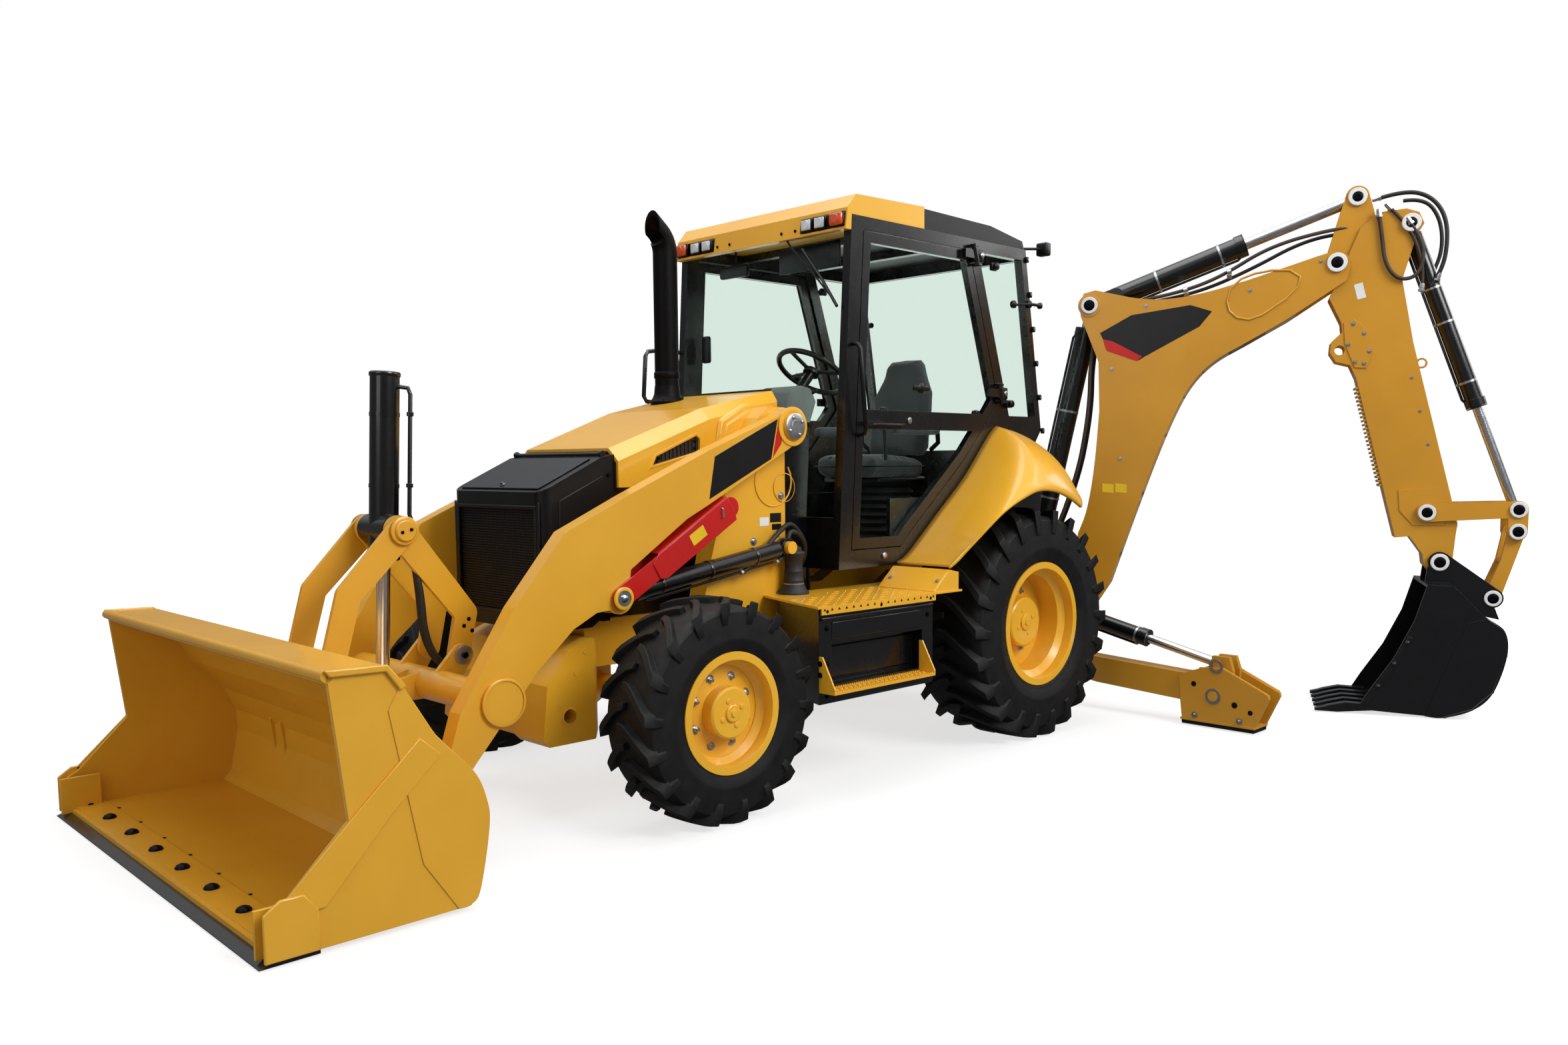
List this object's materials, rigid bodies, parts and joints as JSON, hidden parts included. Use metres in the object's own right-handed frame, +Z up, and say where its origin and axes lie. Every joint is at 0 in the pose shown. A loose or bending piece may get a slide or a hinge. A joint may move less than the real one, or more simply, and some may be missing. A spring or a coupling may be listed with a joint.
{
  "type": "backhoe loader",
  "caption": "Backhoe loader: wheeled tractor with a glazed cab, a front loader bucket on lift arms, and a swinging boom with a telescoping stick and digging bucket, on two stabiliser legs",
  "frame": {"origin": "middle of the parked machine's footprint box, on the ground", "axes": "+Y to the rear along the machine's length, +X to the machine's left, +Z up"},
  "size_m": [4.7385, 6.7589, 3.0755],
  "materials": {
    "yellow_paint": "semi-gloss yellow paint",
    "frame_black": "satin black paint",
    "driveline_grey": "rough cast",
    "roof_black": "fine-grained moulded plastic",
    "exhaust_steel": "dull heat-stained steel",
    "glass": "clear, faint green",
    "seat_fabric": "woven grey cloth",
    "red_paint": "gloss red paint",
    "tyre_rubber": "matte black rubber",
    "cylinder_black": "gloss black paint",
    "rod_chrome": "polished hard chrome"
  },
  "bodies": {
    "machine": {"main_frame": "yellow_paint", "counterweight": "yellow_paint", "engine_block": "driveline_grey", "front_axle": "yellow_paint", "rear_axle": "frame_black", "grille_shell": "frame_black", "hood": "yellow_paint", "exhaust_stack": "exhaust_steel", "cab_frame": "frame_black", "cab_glass": "glass", "cab_visor": "yellow_paint", "cab_roof": "roof_black", "operator_seat": "seat_fabric", "steering_console": "roof_black", "rear_fenders": "yellow_paint", "side_tanks": "frame_black", "step_plates": "yellow_paint"},
    "steering_knuckle_left": {"knuckle_left": "yellow_paint"},
    "steering_knuckle_right": {"knuckle_right": "yellow_paint"},
    "front_wheel_left": {"tyre_front_left": "tyre_rubber", "rim_front_left": "yellow_paint"},
    "front_wheel_right": {"tyre_front_right": "tyre_rubber", "rim_front_right": "yellow_paint"},
    "rear_wheel_left": {"tyre_rear_left": "tyre_rubber", "rim_rear_left": "yellow_paint"},
    "rear_wheel_right": {"tyre_rear_right": "tyre_rubber", "rim_rear_right": "yellow_paint"},
    "cab_door_left": {"door_left": "yellow_paint", "door_glass_left": "glass"},
    "cab_door_right": {"door_right": "yellow_paint", "door_glass_right": "glass"},
    "loader_frame": {"loader_arms": "yellow_paint", "lift_arm_brace": "red_paint"},
    "lift_barrels": {"lift_cylinder_barrels": "cylinder_black"},
    "lift_rods": {"lift_cylinder_rods": "rod_chrome"},
    "loader_tilt_lever": {"tilt_lever": "yellow_paint"},
    "loader_bucket_links": {"bucket_links": "yellow_paint"},
    "tilt_barrel": {"tilt_cylinder_barrel": "cylinder_black"},
    "tilt_rod": {"tilt_cylinder_rod": "rod_chrome"},
    "front_bucket": {"loader_bucket": "yellow_paint", "cutting_edge": "exhaust_steel"},
    "swing_casting": {"swing_frame": "yellow_paint"},
    "boom_body": {"boom": "yellow_paint"},
    "boom_barrel": {"boom_cylinder_barrel": "cylinder_black"},
    "boom_rod": {"boom_cylinder_rod": "rod_chrome"},
    "stick_inner": {"inner_stick": "yellow_paint"},
    "stick_barrel": {"stick_cylinder_barrel": "cylinder_black"},
    "stick_rod": {"stick_cylinder_rod": "rod_chrome"},
    "stick_outer": {"outer_stick": "yellow_paint"},
    "bucket_barrel": {"bucket_cylinder_barrel": "cylinder_black"},
    "bucket_rod": {"bucket_cylinder_rod": "rod_chrome"},
    "hoe_lever": {"bucket_lever": "yellow_paint"},
    "hoe_link": {"bucket_link": "yellow_paint"},
    "rear_bucket": {"hoe_bucket": "frame_black"},
    "stabiliser_left": {"stabiliser_leg_left": "yellow_paint"},
    "stabiliser_right": {"stabiliser_leg_right": "yellow_paint"},
    "stabiliser_cylinder_left": {"stabiliser_barrel_left": "cylinder_black"},
    "stabiliser_cylinder_right": {"stabiliser_barrel_right": "cylinder_black"},
    "stabiliser_plunger_left": {"stabiliser_rod_left": "rod_chrome"},
    "stabiliser_plunger_right": {"stabiliser_rod_right": "rod_chrome"}
  },
  "joints": [
    {"name": "steering_left", "type": "hinge", "parent": "machine", "child": "steering_knuckle_left", "pos_m": [0.406, -1.453, 0.47], "axis": [0, 0, 1], "range_deg": [-40, 40]},
    {"name": "steering_right", "type": "hinge", "parent": "machine", "child": "steering_knuckle_right", "pos_m": [-1.224, -1.453, 0.47], "axis": [0, 0, 1], "range_deg": [-40.5, 40.5]},
    {"name": "front_wheel_left_spin", "type": "hinge", "parent": "steering_knuckle_left", "child": "front_wheel_left", "pos_m": [0.516, -1.453, 0.47], "axis": [1, 0, 0], "continuous": true},
    {"name": "front_wheel_right_spin", "type": "hinge", "parent": "steering_knuckle_right", "child": "front_wheel_right", "pos_m": [-1.334, -1.453, 0.47], "axis": [1, 0, 0], "continuous": true},
    {"name": "rear_wheel_left_spin", "type": "hinge", "parent": "machine", "child": "rear_wheel_left", "pos_m": [0.451, 0.747, 0.62], "axis": [1, 0, 0], "continuous": true},
    {"name": "rear_wheel_right_spin", "type": "hinge", "parent": "machine", "child": "rear_wheel_right", "pos_m": [-1.269, 0.747, 0.62], "axis": [1, 0, 0], "continuous": true},
    {"name": "door_left_hinge", "type": "hinge", "parent": "machine", "child": "cab_door_left", "pos_m": [0.267, 0.907, 1.868], "axis": [0, -0.3077, 0.9515], "range_deg": [0, 80]},
    {"name": "door_right_hinge", "type": "hinge", "parent": "machine", "child": "cab_door_right", "pos_m": [-1.085, 0.907, 1.868], "axis": [0, 0.3077, -0.9515], "range_deg": [0, 80]},
    {"name": "loader_lift", "type": "hinge", "parent": "machine", "child": "loader_frame", "pos_m": [-0.409, -0.689, 1.658], "axis": [-1, 0, 0], "range_deg": [0, 88]},
    {"name": "lift_cylinder_pivot", "type": "hinge", "parent": "machine", "child": "lift_barrels", "pos_m": [-0.409, -0.703, 1.088], "axis": [-1, 0, 0], "range_deg": [-0.5, 74.61]},
    {"name": "lift_cylinder_stroke", "type": "slide", "parent": "lift_barrels", "child": "lift_rods", "axis": [0, -0.9879, -0.1552], "range_m": [-0.005, 0.74137]},
    {"name": "front_bucket_tilt", "type": "hinge", "parent": "loader_frame", "child": "front_bucket", "pos_m": [-0.409, -2.543, 0.235], "axis": [1, 0, 0], "range_deg": [-40, 115]},
    {"name": "tilt_lever_pivot", "type": "hinge", "parent": "loader_frame", "child": "loader_tilt_lever", "pos_m": [-0.409, -2.161, 0.699], "axis": [1, 0, 0], "range_deg": [-32.83, 93.45]},
    {"name": "bucket_links_pivot", "type": "hinge", "parent": "loader_tilt_lever", "child": "loader_bucket_links", "pos_m": [-0.409, -2.406, 1.228], "axis": [1, 0, 0], "range_deg": [-87.36, 30.71]},
    {"name": "tilt_cylinder_pivot", "type": "hinge", "parent": "loader_tilt_lever", "child": "tilt_barrel", "pos_m": [-0.409, -2.406, 1.228], "axis": [1, 0, 0], "range_deg": [-25.94, 9.35]},
    {"name": "tilt_cylinder_stroke", "type": "slide", "parent": "tilt_barrel", "child": "tilt_rod", "axis": [0, -0.0464, -0.9989], "range_m": [-0.37873, 0.13499]},
    {"name": "backhoe_swing", "type": "hinge", "parent": "machine", "child": "swing_casting", "pos_m": [-0.409, 1.877, 0.635], "axis": [0, 0, -1], "range_deg": [-155, 25]},
    {"name": "boom_lower", "type": "hinge", "parent": "swing_casting", "child": "boom_body", "pos_m": [0.05322, 2.09253, 0.6], "axis": [-0.4226, 0.9063, 0], "range_deg": [0, 100]},
    {"name": "boom_cylinder_pivot", "type": "hinge", "parent": "swing_casting", "child": "boom_barrel", "pos_m": [-0.2368, 1.9573, 0.725], "axis": [-0.4226, 0.9063, 0], "range_deg": [-0.5, 92.13]},
    {"name": "boom_cylinder_stroke", "type": "slide", "parent": "boom_barrel", "child": "boom_rod", "axis": [0.1872, 0.0873, 0.9784], "range_m": [-0.005, 0.45224]},
    {"name": "stick_reach", "type": "hinge", "parent": "boom_body", "child": "stick_inner", "pos_m": [1.38186, 2.71209, 2.635], "axis": [0.4226, -0.9063, 0], "range_deg": [-20, 100]},
    {"name": "stick_cylinder_pivot", "type": "hinge", "parent": "boom_body", "child": "stick_barrel", "pos_m": [0.09491, 2.11198, 2.459], "axis": [0.4226, -0.9063, 0], "range_deg": [-2.83, 0.96]},
    {"name": "stick_cylinder_stroke", "type": "slide", "parent": "stick_barrel", "child": "stick_rod", "axis": [0.8519, 0.3972, 0.3413], "range_m": [-0.58706, 0.12141]},
    {"name": "stick_extend", "type": "slide", "parent": "stick_inner", "child": "stick_outer", "axis": [0.2223, 0.1037, -0.9694], "range_m": [0, 1.05]},
    {"name": "rear_bucket_curl", "type": "hinge", "parent": "stick_outer", "child": "rear_bucket", "pos_m": [1.9223, 2.9641, 0.88583], "axis": [0.4226, -0.9063, 0], "range_deg": [-80, 100]},
    {"name": "hoe_lever_pivot", "type": "hinge", "parent": "stick_outer", "child": "hoe_lever", "pos_m": [1.85341, 2.93198, 1.17399], "axis": [0.4226, -0.9063, 0], "range_deg": [-55.7, 69.5]},
    {"name": "hoe_link_pivot", "type": "hinge", "parent": "hoe_lever", "child": "hoe_link", "pos_m": [2.27682, 3.12942, 1.06837], "axis": [0.4226, -0.9063, 0], "range_deg": [-50.5, 40.5]},
    {"name": "bucket_cylinder_pivot", "type": "hinge", "parent": "stick_outer", "child": "bucket_barrel", "pos_m": [1.73238, 2.87554, 2.83911], "axis": [0.4226, -0.9063, 0], "range_deg": [-3.1, 3.76]},
    {"name": "bucket_cylinder_stroke", "type": "slide", "parent": "bucket_barrel", "child": "bucket_rod", "axis": [0.3104, 0.1448, -0.9395], "range_m": [-0.49067, 0.39353]},
    {"name": "stabiliser_left_raise", "type": "hinge", "parent": "machine", "child": "stabiliser_left", "pos_m": [0.011, 1.647, 0.278], "axis": [0, -1, 0], "range_deg": [-12, 55]},
    {"name": "stabiliser_left_cylinder_pivot", "type": "hinge", "parent": "machine", "child": "stabiliser_cylinder_left", "pos_m": [-0.079, 1.647, 0.655], "axis": [0, -1, 0], "range_deg": [-12.15, 53.91]},
    {"name": "stabiliser_left_stroke", "type": "slide", "parent": "stabiliser_cylinder_left", "child": "stabiliser_plunger_left", "axis": [0.975, 0, -0.2221], "range_m": [-0.36156, 0.0828]},
    {"name": "stabiliser_right_raise", "type": "hinge", "parent": "machine", "child": "stabiliser_right", "pos_m": [-0.829, 1.647, 0.278], "axis": [0, 1, 0], "range_deg": [-12, 55]},
    {"name": "stabiliser_right_cylinder_pivot", "type": "hinge", "parent": "machine", "child": "stabiliser_cylinder_right", "pos_m": [-0.739, 1.647, 0.655], "axis": [0, 1, 0], "range_deg": [-12.15, 53.91]},
    {"name": "stabiliser_right_stroke", "type": "slide", "parent": "stabiliser_cylinder_right", "child": "stabiliser_plunger_right", "axis": [-0.975, 0, -0.2221], "range_m": [-0.36156, 0.0828]}
  ],
  "couplings": [
    {"joint": "steering_right", "follows": "steering_left", "ratio": 1},
    {"joint": "lift_cylinder_pivot", "follows": "loader_lift", "ratio": 0.84212},
    {"joint": "lift_cylinder_stroke", "follows": "loader_lift", "m_per_rad": 0.47944},
    {"joint": "tilt_lever_pivot", "follows": "front_bucket_tilt", "ratio": 0.80823},
    {"joint": "bucket_links_pivot", "follows": "front_bucket_tilt", "ratio": -0.75534},
    {"joint": "tilt_cylinder_pivot", "follows": "front_bucket_tilt", "ratio": -0.2212},
    {"joint": "tilt_cylinder_stroke", "follows": "front_bucket_tilt", "m_per_rad": -0.1862},
    {"joint": "boom_cylinder_pivot", "follows": "boom_lower", "ratio": 0.91627},
    {"joint": "boom_cylinder_stroke", "follows": "boom_lower", "m_per_rad": 0.25625},
    {"joint": "stick_cylinder_pivot", "follows": "stick_reach", "ratio": -0.02325},
    {"joint": "stick_cylinder_stroke", "follows": "stick_reach", "m_per_rad": -0.3335},
    {"joint": "hoe_lever_pivot", "follows": "rear_bucket_curl", "ratio": 0.69},
    {"joint": "hoe_link_pivot", "follows": "rear_bucket_curl", "ratio": -0.5},
    {"joint": "bucket_cylinder_pivot", "follows": "rear_bucket_curl", "ratio": 0.03256},
    {"joint": "bucket_cylinder_stroke", "follows": "rear_bucket_curl", "m_per_rad": -0.27827},
    {"joint": "stabiliser_left_cylinder_pivot", "follows": "stabiliser_left_raise", "ratio": 0.97107},
    {"joint": "stabiliser_left_stroke", "follows": "stabiliser_left_raise", "m_per_rad": -0.37145},
    {"joint": "stabiliser_right_cylinder_pivot", "follows": "stabiliser_right_raise", "ratio": 0.97107},
    {"joint": "stabiliser_right_stroke", "follows": "stabiliser_right_raise", "m_per_rad": -0.37145}
  ]
}
